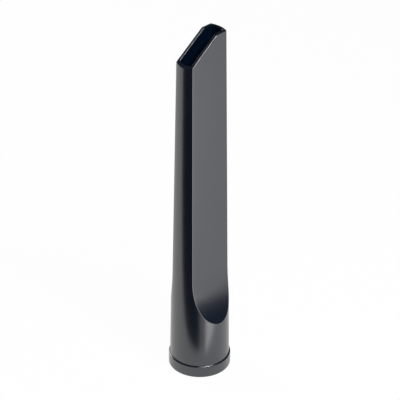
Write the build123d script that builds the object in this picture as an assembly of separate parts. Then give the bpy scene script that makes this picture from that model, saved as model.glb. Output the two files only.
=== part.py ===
from build123d import *
import os
from math import tan, radians

os.makedirs("parts", exist_ok=True)

# Crevice tool, moulded in one piece, in millimetres.
# It stands on the open end of its socket, with the mouth at the top.
# X runs along the wide way of the flattened stem and Y through its thickness.

# Overall
length = 226.0

# Round tube: a plain cone from the socket end to the tip
tube_base_d = 36.6
tube_tip_d = 30.4

# Collar round the socket end
collar_d = 38.0
collar_h = 7.8
collar_top_r = 0.7
collar_foot_r = 0.6

# Two broad flats, thinner towards the tip, each run out downwards in a scoop
flat_root_z = 67.4
flat_root_t = 17.1
flat_tip_t = 12.9
scoop_r = 60.0
corner_r = 0.6

# Socket that takes the end of the hose or wand
socket_d = 32.0
socket_depth = 33.0
lead_in_d = 33.4
lead_in_h = 1.5

# Walls, from which the inner passage above the socket follows the outside
tube_base_wall = 2.55
flat_root_wall = 2.2
tip_wall = 1.9
passage_corner_r = 0.5

# Mouth: a long slanted cut, then a short level tip
mouth_slant = 35.8
tip_land = 8.8
mouth_bend_r = 0.6
outer_rim_r = 0.5
inner_rim_r = 0.3

# Cutting shapes run this far past the tool
overrun = 10.0
# Turn of the scoop's arc in its cutter, enough to leave the tube at any size
scoop_sweep = 75.0
# The corners of the stem lie further than this from the plane between the flats
corner_reach = 1.0


def cone(base_d, tip_d):
    """Solid cone, base_d across at height 0 and tip_d at the tool's full length, run on past it."""
    draft = (tip_d - base_d) / 2 / length
    top_z = length + overrun
    top_r = base_d / 2 + draft * top_z
    with BuildPart() as made:
        with BuildSketch(Plane.XZ):
            Polygon((0, 0), (base_d / 2, 0), (top_r, top_z), (0, top_z), align=None)
        revolve(axis=Axis.Z)
    return made.part


def flats_cutter(root_t, tip_t, arc_r):
    """Both blocks that leave the two flats standing, with the scoop below each of them.

    In side view the cutter's inner edge is a straight line for the flat and,
    tangent to it at flat_root_z, an arc of radius arc_r that curves outwards.
    """
    lean = (root_t - tip_t) / 2 / (length - flat_root_z)
    top_z = length + 2 * overrun
    root = (root_t / 2, flat_root_z)
    top = (root_t / 2 - lean * (top_z - flat_root_z), top_z)
    with BuildPart() as made:
        with BuildSketch(Plane.YZ):
            with BuildLine():
                flat = Line(top, root)
                scoop = JernArc(root, flat % 1, arc_r, scoop_sweep)
                Polyline(scoop @ 1, ((scoop @ 1).X, top_z), top)
            make_face()
        extrude(amount=collar_d, both=True)
        mirror(about=Plane.XZ)
    return made.part


def stem(tube, cutter, edge_r):
    """A tube with the flats cut on it and its long corners and scoop edges rounded."""
    with BuildPart() as made:
        add(tube - cutter)
        edges = made.edges().filter_by_position(Axis.Z, 0, length)
        fillet(edges.filter_by(lambda edge: abs(edge.center().Y) > corner_reach), edge_r)
    return made.part


def collar():
    """The plain band round the socket end, with both its outside edges rounded."""
    with BuildPart() as made:
        Cylinder(collar_d / 2, collar_h, align=(Align.CENTER, Align.CENTER, Align.MIN))
        rings = made.edges().filter_by(GeomType.CIRCLE).sort_by(Axis.Z)
        fillet(rings[-1], collar_top_r)
        fillet(rings[0], collar_foot_r)
    return made.part


def outside():
    """The tool's outer form, longer than the tool, before the mouth is cut."""
    tube = cone(tube_base_d, tube_tip_d)
    return stem(tube, flats_cutter(flat_root_t, flat_tip_t, scoop_r), corner_r) + collar()


def hollow():
    """The air inside: lead-in, parallel socket, stop ledge, and the flattened passage.

    The passage is made from height 0 and then kept only above the socket.
    """
    base_d = tube_base_d - 2 * tube_base_wall
    tip_d = tube_tip_d - 2 * tip_wall
    tube = cone(base_d, tip_d)
    root_t = flat_root_t - 2 * flat_root_wall
    cutter = flats_cutter(root_t, flat_tip_t - 2 * tip_wall, scoop_r + flat_root_wall)
    with BuildPart() as made:
        add(stem(tube, cutter, passage_corner_r))
        split(bisect_by=Plane.XY.offset(socket_depth), keep=Keep.TOP)
        Cylinder(socket_d / 2, socket_depth, align=(Align.CENTER, Align.CENTER, Align.MIN))
        Cone(lead_in_d / 2, socket_d / 2, lead_in_h, align=(Align.CENTER, Align.CENTER, Align.MIN))
    return made.part


def mouth_cutter():
    """Everything above the mouth: level over the tip, then falling to the far narrow side."""
    bend_x = tube_tip_d / 2 - tip_land
    far_x = collar_d
    fall = (bend_x + far_x) * tan(radians(mouth_slant))
    sky_z = length + 2 * overrun
    with BuildPart() as made:
        with BuildSketch(Plane.XZ):
            Polygon((far_x, length), (bend_x, length), (-far_x, length - fall),
                    (-far_x, sky_z), (far_x, sky_z), align=None)
            fillet(vertices().sort_by_distance((bend_x, length))[0], mouth_bend_r)
        extrude(amount=collar_d, both=True)
    return made.part


def on_outside(edge):
    """Whether an edge of the mouth's rim lies beyond the middle of the wall."""
    side_reach = tube_tip_d / 2 - tip_wall / 2
    flat_reach = flat_tip_t / 2 - tip_wall / 2
    return abs(edge.center().X) > side_reach or abs(edge.center().Y) > flat_reach


def crevice_tool():
    """The whole moulding, with the mouth's outer and inner edges rounded."""
    with BuildPart() as made:
        add(outside() - hollow())
        add(mouth_cutter(), mode=Mode.SUBTRACT)
        outer, inner = made.edges(Select.NEW).group_by(on_outside)[::-1]
        fillet(outer, outer_rim_r)
        fillet(inner, inner_rim_r)
    return made.part


export_step(crevice_tool(), "parts/crevice_tool.step")
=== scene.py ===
import logging
import math
from dataclasses import dataclass, field
from enum import Enum
from typing import Any

import bmesh
import bpy
import numpy as np
from mathutils import Matrix, Vector


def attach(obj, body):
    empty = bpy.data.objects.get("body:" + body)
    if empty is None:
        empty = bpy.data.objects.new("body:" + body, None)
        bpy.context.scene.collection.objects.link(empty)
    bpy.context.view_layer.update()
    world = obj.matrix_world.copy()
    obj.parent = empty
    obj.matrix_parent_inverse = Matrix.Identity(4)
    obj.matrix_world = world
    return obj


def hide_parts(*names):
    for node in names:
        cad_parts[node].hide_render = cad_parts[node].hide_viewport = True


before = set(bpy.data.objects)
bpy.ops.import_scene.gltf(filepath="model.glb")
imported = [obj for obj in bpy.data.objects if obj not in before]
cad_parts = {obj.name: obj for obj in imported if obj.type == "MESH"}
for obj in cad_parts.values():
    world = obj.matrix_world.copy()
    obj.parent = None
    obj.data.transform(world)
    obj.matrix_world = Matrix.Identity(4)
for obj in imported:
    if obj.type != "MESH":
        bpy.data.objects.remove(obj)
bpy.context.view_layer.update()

log = logging.getLogger("crevice_tool")

MM = 0.001
NORMAL_LAYER = "true_normal"
WHITE = (1.0, 1.0, 1.0, 1.0)
# The sheet's front edge is square to the camera, so both use this azimuth, in degrees.
PHOTO_AZIMUTH = -45.63
# Signs of a place on the two sides of the middle.
HALVES = (1.0, -1.0)
# A smaller angle between two directions, in radians, is taken as this one.
LEAST_ANGLE = 1e-6
# Rounds of the search for the scoop's foot, and of the search for the rim.
HALVINGS = 60
RIM_ROUNDS = 12


class Wall(Enum):
    """Which face of the moulding's wall a surface is."""

    OUTSIDE = 1
    INSIDE = -1


class Part(Enum):
    """The three stretches of the stem's section, going round from the middle of a flat."""

    FLAT = 0
    CORNER = 1
    SIDE = 2


def unit(vectors: np.ndarray) -> np.ndarray:
    """Scales each vector of an array to length one."""
    return vectors / np.linalg.norm(vectors, axis=-1, keepdims=True)


def turn_between(first: np.ndarray, last: np.ndarray, share: np.ndarray) -> np.ndarray:
    """Turns from one direction to another at an even rate along their great circle.

    With the angle a between the two, the result is
    (sin((1 - share) a) first + sin(share a) last) / sin(a).

    Args:
        first: Unit vectors at share 0.
        last: Unit vectors at share 1.
        share: How far to turn, from 0 to 1, with a last axis of length one.

    Returns:
        Unit vectors of the arrays' common shape.
    """
    cosine = np.clip(np.sum(first * last, axis=-1, keepdims=True), -1.0, 1.0)
    angle = np.maximum(np.arccos(cosine), LEAST_ANGLE)
    mixed = (np.sin((1 - share) * angle) * first + np.sin(share * angle) * last) / np.sin(angle)
    return unit(mixed)


def bearing_vector(azimuth: float, elevation: float) -> Vector:
    """Unit vector at an azimuth, from -y towards +x, and an elevation, both in degrees."""
    turn, tilt = math.radians(azimuth), math.radians(elevation)
    return Vector((math.sin(turn) * math.cos(tilt), -math.cos(turn) * math.cos(tilt), math.sin(tilt)))


def grid_faces(rows: int, columns: int, start: int, flip: bool) -> np.ndarray:
    """Corner numbers of the four-sided faces of a grid of points stored row by row.

    Args:
        rows: Points down the grid.
        columns: Points across the grid.
        start: Number of the grid's first point in the mesh.
        flip: Whether to turn each face over.

    Returns:
        One line of four corner numbers for each face.
    """
    number = start + np.arange(rows * columns).reshape(rows, columns)
    faces = np.stack([number[:-1, :-1], number[:-1, 1:], number[1:, 1:], number[1:, :-1]], -1)
    faces = faces.reshape(-1, 4)
    return faces[:, ::-1] if flip else faces


@dataclass
class Skin:
    """Grids of points with their true normals, gathered into one closed mesh."""

    points: list[np.ndarray] = field(default_factory=list)
    normals: list[np.ndarray] = field(default_factory=list)
    faces: list[np.ndarray] = field(default_factory=list)
    count: int = 0

    def add(self, points: np.ndarray, normals: np.ndarray, flip: bool) -> None:
        """Adds one grid.

        Args:
            points: Places in millimetres, as rows by columns by three.
            normals: Directions that face out of the plastic, in the same shape.
            flip: Whether the grid's own faces point into the plastic.
        """
        rows, columns = points.shape[:2]
        self.faces.append(grid_faces(rows, columns, self.count, flip))
        self.points.append(points.reshape(-1, 3))
        self.normals.append(normals.reshape(-1, 3))
        self.count += rows * columns

    def build(self, name: str, weld: float) -> bpy.types.Object:
        """Makes the mesh, welds the grids' shared edges and sets the true normals.

        Args:
            name: Name of the new object.
            weld: Points nearer than this, in millimetres, become one.

        Returns:
            The new object, at the origin, with its place in its mesh.
        """
        mesh = bpy.data.meshes.new(name)
        mesh.from_pydata(np.concatenate(self.points) * MM, [], np.concatenate(self.faces))
        layer = mesh.attributes.new(NORMAL_LAYER, "FLOAT_VECTOR", "POINT")
        layer.data.foreach_set("vector", np.concatenate(self.normals).ravel())
        welder = bmesh.new()
        welder.from_mesh(mesh)
        bmesh.ops.remove_doubles(welder, verts=welder.verts, dist=weld * MM)
        welder.to_mesh(mesh)
        welder.free()
        directions = np.empty(len(mesh.vertices) * 3)
        mesh.attributes[NORMAL_LAYER].data.foreach_get("vector", directions)
        mesh.attributes.remove(mesh.attributes[NORMAL_LAYER])
        mesh.shade_smooth()
        mesh.normals_split_custom_set_from_vertices(directions.reshape(-1, 3))
        piece = bpy.data.objects.new(name, mesh)
        bpy.context.scene.collection.objects.link(piece)
        return piece


@dataclass(frozen=True)
class Quarter:
    """How the points are shared out over one quarter of the stem, from a flat to a side."""

    flat_steps: int = 12
    corner_steps: int = 8
    side_steps: int = 12
    scoop_steps: int = 48
    ring_steps: int = 26
    upper_steps: int = 40

    def columns(self) -> tuple[np.ndarray, np.ndarray]:
        """The section's stations, from the middle of a flat to the middle of a side.

        Returns:
            The Part number of each station and its share of that part, from 0 to 1.
        """
        steps = (self.flat_steps, self.corner_steps, self.side_steps)
        part = np.repeat([stretch.value for stretch in Part], steps)
        share = np.concatenate([np.arange(count) / count for count in steps])
        return np.append(part, Part.SIDE.value), np.append(share, 1.0)


@dataclass(frozen=True)
class Stem:
    """A tapering round tube with a flat and a scoop on both broad sides, in millimetres.

    A place along a flat's side profile is q: it runs up the flat from its root
    at 0, and down the scoop's arc below it, where it is negative.
    """

    base_r: float
    tip_r: float
    root_half: float
    tip_half: float
    scoop_r: float
    corner_r: float
    length: float
    root_z: float
    ring_z: float

    @property
    def draft(self) -> float:
        """Angle of the round tube's side from upright."""
        return math.atan((self.base_r - self.tip_r) / self.length)

    @property
    def lean(self) -> float:
        """Angle of the flats from upright."""
        return math.atan((self.root_half - self.tip_half) / (self.length - self.root_z))

    def radius(self, z: np.ndarray, depth: float = 0.0) -> np.ndarray:
        """The base's radius, less height times the draft's tangent, less depth over its cosine."""
        return self.base_r - math.tan(self.draft) * z - depth / math.cos(self.draft)

    def side_profile(self, q: np.ndarray, depth: float) -> tuple[np.ndarray, ...]:
        """The flat and scoop in side view: a straight line, then an arc that curves outwards.

        On the arc the angle from upright is the lean plus the arc length over its radius.

        Args:
            q: Place along the profile.
            depth: Depth under the skin.

        Returns:
            Half-thickness and height, and the two parts of the outward normal.
        """
        on_arc = np.minimum(q, 0.0)
        angle = self.lean - on_arc / self.scoop_r
        out, up = np.cos(angle), np.sin(angle)
        start_y = self.root_half + self.scoop_r * (math.cos(self.lean) - out)
        start_z = self.root_z + self.scoop_r * (math.sin(self.lean) - up)
        along = np.maximum(q, 0.0)
        y = start_y - along * math.sin(self.lean) - depth * out
        z = start_z + along * math.cos(self.lean) - depth * up
        return y, z, out, up

    def corner_ball(self, q: np.ndarray) -> tuple[np.ndarray, ...]:
        """Centre of the ball that rolls along the corner and rounds it, and the skin's normals.

        It lies at the corner's radius under both the flat and the tube.

        Args:
            q: Place along the profile.

        Returns:
            The centre's x, y and z, and the two parts of the flat's normal.
        """
        y, z, out, up = self.side_profile(q, self.corner_r)
        x = np.sqrt(np.maximum(self.radius(z, self.corner_r) ** 2 - y ** 2, 0.0))
        return x, y, z, out, up

    def foot_q(self) -> float:
        """Place on the scoop where its edge crosses the middle, by halving an interval.

        Returns:
            The place q, which is negative.
        """
        low, high = -self.scoop_r, 0.0
        for _ in range(HALVINGS):
            middle = (low + high) / 2
            y, z, _, _ = self.side_profile(np.array(middle), self.corner_r)
            low, high = (middle, high) if y > self.radius(z, self.corner_r) else (low, middle)
        return high

    def surface(self, q: np.ndarray, fan: np.ndarray, ring: np.ndarray, part: np.ndarray,
                share: np.ndarray) -> tuple[np.ndarray, np.ndarray]:
        """Points of the quarter with positive x and y, by row and station.

        On the flat, x is a share of the corner ball's x. On the corner, the point
        lies at the ball's radius from its centre, in a direction that turns from
        the flat's normal to the tube's. On the side, angle and height run evenly
        from the corner to the target (fan, ring), and the point is on the tube.

        Args:
            q: Place along the profile of each point.
            fan: Angle round the tube, from +x, where each row of the side ends.
            ring: Height where each row of the side ends, or nan to stay level.
            part: Part number of each station.
            share: Share of its part of each station.

        Returns:
            Points and outward normals, as rows by stations by three.
        """
        x, y, z, out, up = self.corner_ball(q)
        flat_normal = np.stack([np.zeros_like(out), out, up], -1)
        bearing = np.arctan2(y, x)
        slope = np.full_like(bearing, math.sin(self.draft))
        around = math.cos(self.draft)
        tube_normal = np.stack([np.cos(bearing) * around, np.sin(bearing) * around, slope], -1)
        centre = np.stack([x, y, z], -1)
        on_flat = centre * np.stack([share, np.ones_like(share), np.ones_like(share)], -1)
        on_flat = on_flat + self.corner_r * flat_normal
        shares = np.broadcast_to(share[..., None], bearing.shape + (1,))
        turned = turn_between(flat_normal, tube_normal, shares)
        on_corner = centre + self.corner_r * turned
        edge_z = z + self.corner_r * slope
        side_bearing = bearing + (fan - bearing) * share
        side_z = edge_z + (np.where(np.isnan(ring), edge_z, ring) - edge_z) * share
        side_normal = np.stack([np.cos(side_bearing) * around, np.sin(side_bearing) * around, slope], -1)
        side_r = self.radius(side_z)
        on_side = np.stack([side_r * np.cos(side_bearing), side_r * np.sin(side_bearing), side_z], -1)
        kind = np.broadcast_to(part[..., None], on_side.shape)
        choices = [kind == Part.FLAT.value, kind == Part.CORNER.value]
        points = np.select(choices, [on_flat, on_corner], on_side)
        normals = np.select(choices, [flat_normal, turned], side_normal)
        return points, normals


@dataclass(frozen=True)
class Mouth:
    """The slanted cut, its bend and the short level tip, in millimetres."""

    slant: float
    bend_x: float
    bend_r: float
    top_z: float

    @property
    def level_end(self) -> float:
        """Where, over x, the level tip ends and the bend starts."""
        return self.bend_x + self.bend_r * math.tan(self.slant / 2)

    def height(self, x: np.ndarray, depth: float) -> np.ndarray:
        """Height of the cut: level at the tip, an arc round the bend, then a falling line.

        The arc's radius is the bend's less the depth. The line is tangent to the arc.

        Args:
            x: Places across the mouth, with the tip on the positive side.
            depth: Depth under the cut, less than the bend's radius.

        Returns:
            The height at each place.
        """
        arc_r = self.bend_r - depth
        from_bend = x - self.level_end
        arc = np.sqrt(np.maximum(arc_r ** 2 - from_bend ** 2, 0.0))
        arc_width = arc_r * math.sin(self.slant)
        line = arc_r * math.cos(self.slant) + math.tan(self.slant) * (from_bend + arc_width)
        shape = np.select([from_bend > 0, from_bend > -arc_width], [arc_r, arc], line)
        return self.top_z - self.bend_r + shape

    def normal(self, x: np.ndarray, depth: float) -> np.ndarray:
        """Direction out of the cut; its lean's sine is (level_end - x) / arc radius, up to the slant's."""
        sine = np.clip((self.level_end - x) / (self.bend_r - depth), 0.0, math.sin(self.slant))
        return np.stack([-sine, np.zeros_like(sine), np.sqrt(1 - sine ** 2)], -1)


@dataclass(frozen=True)
class StemSkin:
    """One face of the stem's wall, from its lower ring to just under the mouth's rim."""

    stem: Stem
    wall: Wall
    mouth: Mouth
    rim_r: float
    quarter: Quarter

    def rim_balls(self, x_sign: float) -> tuple[np.ndarray, np.ndarray, np.ndarray]:
        """Centres of the balls that round the mouth's rim on this face.

        Each lies the rim's radius inside the plastic from this face and from the
        cut. Its place q is found by stepping up by the height still missing.

        Args:
            x_sign: 1 for the tip's side and -1 for the low side.

        Returns:
            The places q, the centres, and the face's normals there.
        """
        part, share = self.quarter.columns()
        q = np.full(part.shape, self.stem.length - self.stem.root_z)
        inwards = -self.rim_r * self.wall.value
        mirror = np.array([x_sign, 1.0, 1.0])
        for _ in range(RIM_ROUNDS):
            points, normals = self.stem.surface(q, np.zeros_like(q), np.full_like(q, np.nan), part, share)
            centres = (points + inwards * normals) * mirror
            q = q + self.mouth.height(centres[..., 0], self.rim_r) - centres[..., 2]
        return q, centres, normals * mirror * self.wall.value

    def rows(self, x_sign: float) -> tuple[np.ndarray, ...]:
        """Places of each row of the quarter's grid, from the middle of the scoop's edge up.

        Below the root, q is the foot's plus the square of the row's share, so that
        the edge is evenly divided where it turns round the foot. The side's rows
        end first on the lower ring and then up the middle of the side.

        Args:
            x_sign: 1 for the tip's side and -1 for the low side.

        Returns:
            q for each row and station, and the side's end angle and height.
        """
        q_top, _, _ = self.rim_balls(x_sign)
        spread = self.quarter
        count = spread.scoop_steps + spread.upper_steps + 1
        row = np.arange(count)
        foot = self.stem.foot_q()
        low = foot - foot * (np.minimum(row, spread.scoop_steps) / spread.scoop_steps) ** 2
        high = np.maximum(row - spread.scoop_steps, 0) / spread.upper_steps
        q = low[:, None] + high[:, None] * q_top
        on_ring = np.maximum(1 - row / spread.ring_steps, 0.0)
        fan = on_ring * math.pi / 2
        climb = (row - spread.ring_steps) / (spread.scoop_steps - spread.ring_steps)
        root_z = self.stem.corner_ball(np.array(0.0))[2] + self.stem.corner_r * math.sin(self.stem.draft)
        ring = self.stem.ring_z + (root_z - self.stem.ring_z) * np.clip(climb, 0.0, 1.0)
        ring = np.where(row > spread.scoop_steps, np.nan, ring)
        shape = q.shape
        return q, np.broadcast_to(fan[:, None], shape), np.broadcast_to(ring[:, None], shape)

    def add_to(self, skin: Skin) -> None:
        """Adds the face's four quarters, each worked out with x and y positive and then mirrored.

        Args:
            skin: The mesh that they join.
        """
        part, share = self.quarter.columns()
        for x_sign in HALVES:
            q, fan, ring = self.rows(x_sign)
            points, normals = self.stem.surface(q, fan, ring, np.broadcast_to(part, q.shape),
                                                np.broadcast_to(share, q.shape))
            for y_sign in HALVES:
                signs = np.array([x_sign, y_sign, 1.0])
                flip = x_sign * y_sign * self.wall.value > 0
                skin.add(points * signs, normals * signs * self.wall.value, flip)


@dataclass(frozen=True)
class Rim:
    """The mouth's rim, between the two faces of the wall."""

    outside: StemSkin
    inside: StemSkin
    mouth: Mouth
    round_steps: int = 6
    face_steps: int = 4

    def edge(self, face: StemSkin, x_sign: float) -> tuple[np.ndarray, np.ndarray]:
        """One rounded edge: the normal turns from the wall's to the cut's round each ball.

        Args:
            face: The wall's face that the edge ends.
            x_sign: 1 for the tip's side and -1 for the low side.

        Returns:
            Points and normals, from the wall to the cut.
        """
        _, centres, wall_normal = face.rim_balls(x_sign)
        cut_normal = self.mouth.normal(centres[:, 0], face.rim_r)
        share = np.linspace(0.0, 1.0, self.round_steps + 1)[:, None, None]
        normals = turn_between(wall_normal[None], cut_normal[None], share)
        return centres[None] + face.rim_r * normals, normals

    def add_to(self, skin: Skin) -> None:
        """Adds the rounded edges and the flat face between them, as one grid a quarter.

        The face runs straight from the outer edge to the inner one, at the cut's height.

        Args:
            skin: The mesh that they join.
        """
        for x_sign in HALVES:
            outer, outer_normals = self.edge(self.outside, x_sign)
            inner, inner_normals = self.edge(self.inside, x_sign)
            share = np.linspace(0.0, 1.0, self.face_steps + 1)[1:-1, None, None]
            face = outer[-1] + (inner[-1] - outer[-1]) * share
            face[..., 2] = self.mouth.height(face[..., 0], 0.0)
            face_normals = self.mouth.normal(face[..., 0], 0.0)
            points = np.concatenate([outer, face, inner[::-1]])
            normals = np.concatenate([outer_normals, face_normals, inner_normals[::-1]])
            for y_sign in HALVES:
                signs = np.array([1.0, y_sign, 1.0])
                skin.add(points * signs, normals * signs, x_sign * y_sign > 0)


@dataclass(frozen=True)
class SocketEnd:
    """The turned lower end: collar, standing ring, lead-in, socket and stop ledge.

    It is one outline of straight runs and rounded corners, turned round the axis.
    """

    outer: Stem
    inner: Stem
    collar_r: float = 19.0
    collar_h: float = 7.8
    collar_top_r: float = 0.7
    collar_foot_r: float = 0.6
    socket_r: float = 16.0
    socket_depth: float = 33.0
    lead_in_r: float = 16.7
    lead_in_h: float = 1.5
    soft_r: float = 0.12
    lead_in_soft_r: float = 0.3
    ledge_soft_r: float = 0.3
    round_steps: int = 6

    def outline(self) -> tuple[np.ndarray, np.ndarray]:
        """Corners of the outline, from the tube's skin down the outside and up the passage.

        Returns:
            The corners as radius and height, and the rounding of each but the two ends.
        """
        corners = np.array([
            (float(self.outer.radius(self.outer.ring_z)), self.outer.ring_z),
            (float(self.outer.radius(self.collar_h)), self.collar_h),
            (self.collar_r, self.collar_h),
            (self.collar_r, 0.0),
            (self.lead_in_r, 0.0),
            (self.socket_r, self.lead_in_h),
            (self.socket_r, self.socket_depth),
            (float(self.inner.radius(self.socket_depth)), self.socket_depth),
            (float(self.inner.radius(self.inner.ring_z)), self.inner.ring_z),
        ])
        roundings = np.array([self.soft_r, self.collar_top_r, self.collar_foot_r, self.lead_in_soft_r,
                              self.lead_in_soft_r, self.soft_r, self.ledge_soft_r])
        return corners, roundings

    def profile(self) -> tuple[np.ndarray, np.ndarray]:
        """Points and normals along the outline, with an arc at each corner.

        An arc starts and ends at radius times tan(half the turn) from its corner,
        and its centre is at the radius from both runs, on the side it turns to.

        Returns:
            Points and normals as radius and height.
        """
        corners, radii = self.outline()
        runs = unit(np.diff(corners, axis=0))
        before, after = runs[:-1], runs[1:]
        turn = np.arctan2(before[:, 0] * after[:, 1] - before[:, 1] * after[:, 0],
                          np.sum(before * after, axis=1))
        left = np.stack([-before[:, 1], before[:, 0]], -1)
        reach = (radii * np.tan(np.abs(turn) / 2))[:, None]
        side = np.sign(turn)[:, None]
        centre = corners[1:-1] - reach * before + side * radii[:, None] * left
        share = np.linspace(0.0, 1.0, self.round_steps + 1)[None, :]
        angle = turn[:, None] * share
        cosine, sine = np.cos(angle)[..., None], np.sin(angle)[..., None]
        normals = cosine * left[:, None] - sine * before[:, None]
        points = centre[:, None] - side[:, None] * radii[:, None, None] * normals
        first = unit(np.array([[-runs[0, 1], runs[0, 0]]]))
        last = unit(np.array([[-runs[-1, 1], runs[-1, 0]]]))
        all_points = np.concatenate([corners[:1], points.reshape(-1, 2), corners[-1:]])
        all_normals = np.concatenate([first, normals.reshape(-1, 2), last])
        return all_points, all_normals

    def add_to(self, skin: Skin, quarter: Quarter) -> None:
        """Adds the outline turned once round the axis, as (r cos a, r sin a, z).

        Args:
            skin: The mesh that it joins.
            quarter: Gives the steps round each quarter, so that the edges meet the stem's.
        """
        points, normals = self.profile()
        angle = np.linspace(0.0, 2 * math.pi, 4 * quarter.ring_steps + 1)[None, :]
        cosine, sine = np.cos(angle), np.sin(angle)
        height = np.repeat(points[:, 1:], angle.shape[1], axis=1)
        rise = np.repeat(normals[:, 1:], angle.shape[1], axis=1)
        grid = np.stack([points[:, :1] * cosine, points[:, :1] * sine, height], -1)
        directions = np.stack([normals[:, :1] * cosine, normals[:, :1] * sine, rise], -1)
        skin.add(grid, directions, True)


class Wire:
    """A shader value that Python adds, subtracts and multiplies, each time by a Math node."""

    def __init__(self, board: "Board", socket: "bpy.types.NodeSocket | None") -> None:
        """Wraps an output socket of one material's or world's nodes."""
        self.board = board
        self.socket = socket

    def _math(self, operation: str, first: "Wire | float", second: "Wire | float") -> "Wire":
        """Adds a Math node that works on two values or wires."""
        return self.board.add("ShaderNodeMath", {"operation": operation}, {0: first, 1: second})

    def __add__(self, other: "Wire | float") -> "Wire":
        """self + other."""
        return self._math("ADD", self, other)

    def __radd__(self, other: "Wire | float") -> "Wire":
        """other + self."""
        return self._math("ADD", other, self)

    def __sub__(self, other: "Wire | float") -> "Wire":
        """self - other."""
        return self._math("SUBTRACT", self, other)

    def __rsub__(self, other: "Wire | float") -> "Wire":
        """other - self."""
        return self._math("SUBTRACT", other, self)

    def __mul__(self, other: "Wire | float") -> "Wire":
        """self * other."""
        return self._math("MULTIPLY", self, other)

    def __rmul__(self, other: "Wire | float") -> "Wire":
        """other * self."""
        return self._math("MULTIPLY", other, self)


class Board:
    """The nodes of one material or world, emptied before use."""

    def __init__(self, owner: "bpy.types.Material | bpy.types.World") -> None:
        """Takes over a material's or a world's nodes and clears them.

        Args:
            owner: The material or world.
        """
        owner.use_nodes = True
        self.tree = owner.node_tree
        self.tree.nodes.clear()

    def add(self, kind: str, settings: dict[str, Any] | None = None, inputs: dict[Any, Any] | None = None,
            output: int | str = 0) -> Wire:
        """Adds one node.

        Args:
            kind: The node's type.
            settings: Attributes to set before its sockets.
            inputs: Values or wires for its sockets, by name or number.
            output: The output that the result stands for.

        Returns:
            That output as a wire, or the node's only end where it has no output.
        """
        node = self.tree.nodes.new(kind)
        for key, value in (settings or {}).items():
            setattr(node, key, value)
        for key, value in (inputs or {}).items():
            if isinstance(value, Wire):
                self.tree.links.new(value.socket, node.inputs[key])
            else:
                node.inputs[key].default_value = value
        return Wire(self, node.outputs[output] if len(node.outputs) else None)


@dataclass(frozen=True)
class Noise:
    """A cloudy pattern of bumps, with its size and depth in millimetres."""

    size: float
    depth: float
    detail: float
    gain: float
    middle: float = 0.5

    def pattern(self, board: Board, place: Wire) -> Wire:
        """Adds the pattern's node.

        Args:
            board: The material's nodes.
            place: Object coordinates, in metres.

        Returns:
            The pattern's value, from 0 to 1.
        """
        scale = 1 / (self.size * MM)
        inputs = {"Vector": place, "Scale": scale, "Detail": self.detail, "Roughness": self.gain}
        return board.add("ShaderNodeTexNoise", {}, inputs)


@dataclass(frozen=True)
class MouldedPlastic:
    """Near-black moulded plastic with a fine grain and a faint flow wave."""

    color: tuple[float, float, float, float] = (0.001, 0.0045, 0.013, 1.0)
    roughness: float = 0.23
    roughness_spread: float = 0.04
    specular: float = 1.0
    index: float = 1.55
    grain: Noise = Noise(size=0.35, depth=0.004, detail=2.0, gain=0.6)
    wave: Noise = Noise(size=16.0, depth=0.006, detail=1.0, gain=0.4)

    def build(self, name: str) -> bpy.types.Material:
        """Makes the material: grain and wave as one bump, and a roughness that both vary.

        Args:
            name: Name of the new material.

        Returns:
            The new material.
        """
        material = bpy.data.materials.new(name)
        board = Board(material)
        place = board.add("ShaderNodeTexCoord", output="Object")
        grain = self.grain.pattern(board, place)
        wave = self.wave.pattern(board, place)
        height = grain * (self.grain.depth * MM) + wave * (self.wave.depth * MM)
        bump = board.add("ShaderNodeBump", {}, {"Strength": 1.0, "Distance": 1.0, "Height": height})
        roughness = self.roughness + (wave - self.wave.middle) * self.roughness_spread
        roughness = roughness + (grain - self.grain.middle) * self.roughness_spread
        shader = board.add("ShaderNodeBsdfPrincipled", {}, {
            "Base Color": self.color, "Roughness": roughness, "Normal": bump,
            "Specular IOR Level": self.specular, "IOR": self.index})
        board.add("ShaderNodeOutputMaterial", {}, {"Surface": shader})
        return material


@dataclass(frozen=True)
class WhitePaper:
    """Paper that is nearly plain white to camera and mirrored rays, and a lit sheet to others."""

    color: tuple[float, float, float, float] = (0.8, 0.8, 0.8, 1.0)
    white_share: float = 0.97

    def build(self, name: str) -> bpy.types.Material:
        """Makes the material, a mix of lit sheet and white by the kind of ray.

        Args:
            name: Name of the new material.

        Returns:
            The new material.
        """
        material = bpy.data.materials.new(name)
        board = Board(material)
        lit = board.add("ShaderNodeBsdfDiffuse", {}, {"Color": self.color})
        white = board.add("ShaderNodeEmission", {}, {"Color": WHITE, "Strength": 1.0})
        camera = board.add("ShaderNodeLightPath", output="Is Camera Ray")
        glossy = board.add("ShaderNodeLightPath", output="Is Glossy Ray")
        through = board.add("ShaderNodeLightPath", output="Is Transmission Ray")
        share = (camera + glossy + through) * self.white_share
        mix = board.add("ShaderNodeMixShader", {}, {0: share, 1: lit, 2: white})
        board.add("ShaderNodeOutputMaterial", {}, {"Surface": mix})
        return material


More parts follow.
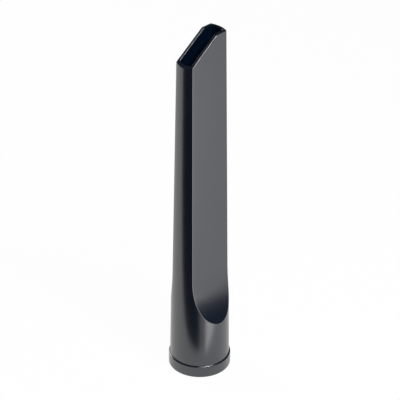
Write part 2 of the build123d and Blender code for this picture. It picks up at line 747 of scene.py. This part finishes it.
@dataclass(frozen=True)
class CreviceTool:
    """The whole moulding: stem, mouth rim and socket end, all as one skin."""

    length: float = 226.0
    root_z: float = 67.4
    tube_base_r: float = 18.3
    tube_tip_r: float = 15.2
    root_half: float = 8.55
    tip_half: float = 6.45
    scoop_r: float = 60.0
    corner_r: float = 0.6
    base_wall: float = 2.55
    root_wall: float = 2.2
    tip_wall: float = 1.9
    inner_corner_r: float = 0.5
    outer_ring_z: float = 10.5
    inner_ring_z: float = 34.4
    mouth_slant: float = 35.8
    tip_land: float = 8.8
    bend_r: float = 0.6
    rim_r: float = 0.5
    inner_rim_r: float = 0.3
    weld: float = 0.002

    def stem(self, wall: Wall) -> Stem:
        """Sizes of the stem's outer form, or of the passage, a wall's thickness inside it.

        Args:
            wall: The face to give the sizes of.

        Returns:
            The stem of that face.
        """
        if wall is Wall.OUTSIDE:
            return Stem(base_r=self.tube_base_r, tip_r=self.tube_tip_r, root_half=self.root_half,
                        tip_half=self.tip_half, scoop_r=self.scoop_r, corner_r=self.corner_r,
                        length=self.length, root_z=self.root_z, ring_z=self.outer_ring_z)
        return Stem(base_r=self.tube_base_r - self.base_wall, tip_r=self.tube_tip_r - self.tip_wall,
                    root_half=self.root_half - self.root_wall, tip_half=self.tip_half - self.tip_wall,
                    scoop_r=self.scoop_r + self.root_wall, corner_r=self.inner_corner_r,
                    length=self.length, root_z=self.root_z, ring_z=self.inner_ring_z)

    def build(self, finish: MouldedPlastic) -> bpy.types.Object:
        """Builds and dresses the moulding and puts it in place of its solid.

        Args:
            finish: The plastic that it is made of.

        Returns:
            The new object.
        """
        quarter = Quarter()
        mouth = Mouth(slant=math.radians(self.mouth_slant), bend_x=self.tube_tip_r - self.tip_land,
                      bend_r=self.bend_r, top_z=self.length)
        outside = StemSkin(self.stem(Wall.OUTSIDE), Wall.OUTSIDE, mouth, self.rim_r, quarter)
        inside = StemSkin(self.stem(Wall.INSIDE), Wall.INSIDE, mouth, self.inner_rim_r, quarter)
        skin = Skin()
        outside.add_to(skin)
        inside.add_to(skin)
        Rim(outside, inside, mouth).add_to(skin)
        SocketEnd(outside.stem, inside.stem).add_to(skin, quarter)
        piece = skin.build("crevice_tool_skin", self.weld)
        piece.data.materials.append(finish.build("moulded_plastic"))
        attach(piece, "root")
        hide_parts("crevice_tool")
        return piece


@dataclass(frozen=True)
class Softbox:
    """An oval soft lamp that faces a point of the tool, in degrees, metres and watts."""

    name: str
    azimuth: float
    elevation: float
    width: float
    height: float
    power: float
    distance: float = 1.0
    aim_z: float = 0.11

    def build(self) -> bpy.types.Object:
        """Makes the lamp at its bearing from the tool, facing the aim point.

        Returns:
            The new lamp.
        """
        aim = Vector((0.0, 0.0, self.aim_z))
        away = bearing_vector(self.azimuth, self.elevation)
        lamp = bpy.data.lights.new(self.name, "AREA")
        lamp.shape = "ELLIPSE"
        lamp.size, lamp.size_y = self.width, self.height
        lamp.energy = self.power
        holder = bpy.data.objects.new(self.name, lamp)
        holder.location = aim + away * self.distance
        holder.rotation_euler = away.to_track_quat("Z", "Y").to_euler()
        bpy.context.scene.collection.objects.link(holder)
        return holder


@dataclass(frozen=True)
class Studio:
    """White sheet that the tool stands on, plain grey surroundings and soft lamps, in metres."""

    sheet_azimuth: float = PHOTO_AZIMUTH
    sheet_size: float = 6.0
    front_reach: float = 0.047
    paper: WhitePaper = WhitePaper()
    ambient: float = 0.05

    def floor(self) -> bpy.types.Object:
        """A flat sheet that the tool stands on, as four corners turned to face the camera.

        Its front edge is square to the camera, a short way in front of the tool.

        Returns:
            The new sheet.
        """
        half = self.sheet_size / 2
        across, along = np.meshgrid(np.array([-half, half]), np.array([self.front_reach, -half]))
        turn = math.radians(self.sheet_azimuth)
        x = across * math.cos(turn) + along * math.sin(turn)
        y = across * math.sin(turn) - along * math.cos(turn)
        points = np.stack([x, y, np.zeros_like(x)], -1).reshape(-1, 3)
        mesh = bpy.data.meshes.new("floor")
        mesh.from_pydata(points, [], grid_faces(2, 2, 0, False))
        sheet = bpy.data.objects.new("floor", mesh)
        bpy.context.scene.collection.objects.link(sheet)
        mesh.materials.append(self.paper.build("floor_white"))
        return sheet

    def surroundings(self) -> None:
        """World of one plain grey."""
        world = bpy.data.worlds.new("surroundings")
        bpy.context.scene.world = world
        board = Board(world)
        light = board.add("ShaderNodeBackground", {}, {"Color": WHITE, "Strength": self.ambient})
        board.add("ShaderNodeOutputWorld", {}, {"Surface": light})

    def lamps(self) -> list[Softbox]:
        """The soft lamps, of which the front and side ones stand below the table's level.

        Returns:
            The lamps, not yet built.
        """
        return [
            Softbox("front_softbox", azimuth=8.0, elevation=-28.0, width=1.3, height=0.55, power=4.9),
            Softbox("side_softbox", azimuth=-31.0, elevation=-28.0, width=0.6, height=0.5, power=0.5),
            Softbox("key_softbox", azimuth=-12.6, elevation=53.0, width=0.6, height=0.22, power=9.5),
            Softbox("back_softbox", azimuth=185.8, elevation=9.0, width=0.69, height=0.63, power=6.8),
            Softbox("ledge_softbox", azimuth=2.0, elevation=50.0, width=0.25, height=0.12, power=2.5),
        ]

    def build(self) -> None:
        """Builds the floor, the surroundings and the lamps."""
        self.floor()
        self.surroundings()
        for lamp in self.lamps():
            lamp.build()


@dataclass(frozen=True)
class Camera:
    """The photograph's camera, in degrees and metres, for a square picture.

    The picture's side is in pixels, and the sensor's in millimetres.
    """

    azimuth: float = PHOTO_AZIMUTH
    elevation: float = 31.33
    roll: float = 0.3755
    distance: float = 1.35
    aim_z: float = 0.11578
    aim_right: float = -0.00033
    pixels_per_mm: float = 1.6854
    picture: float = 400.0
    sensor: float = 36.0
    clip_end: float = 50.0

    def build(self) -> bpy.types.Object:
        """Makes the camera, whose lens gives the stated picture scale at the aim point.

        Returns:
            The new camera.
        """
        turn = math.radians(self.azimuth)
        right = Vector((math.cos(turn), math.sin(turn), 0.0))
        away = bearing_vector(self.azimuth, self.elevation)
        aim = Vector((0.0, 0.0, self.aim_z)) + right * self.aim_right
        view = Matrix((right, away.cross(right), away)).transposed()
        view = view @ Matrix.Rotation(math.radians(self.roll), 3, "Z")
        lens = bpy.data.cameras.new("photo_camera")
        lens.sensor_width = self.sensor
        lens.lens = self.pixels_per_mm / MM * self.distance * self.sensor / self.picture
        lens.clip_end = self.clip_end
        holder = bpy.data.objects.new("photo_camera", lens)
        holder.matrix_world = Matrix.Translation(aim + away * self.distance) @ view.to_4x4()
        bpy.context.scene.collection.objects.link(holder)
        bpy.context.scene.camera = holder
        return holder


def main() -> None:
    """Builds the tool, the studio and the camera, and reports each."""
    logging.basicConfig(level=logging.INFO)
    bpy.context.scene.view_settings.view_transform = "Standard"
    tool = CreviceTool().build(MouldedPlastic())
    log.info("built %s with %d faces", tool.name, len(tool.data.polygons))
    Studio().build()
    log.info("built the studio")
    camera = Camera().build()
    log.info("placed %s", camera.name)


if __name__ == "__main__":
    main()
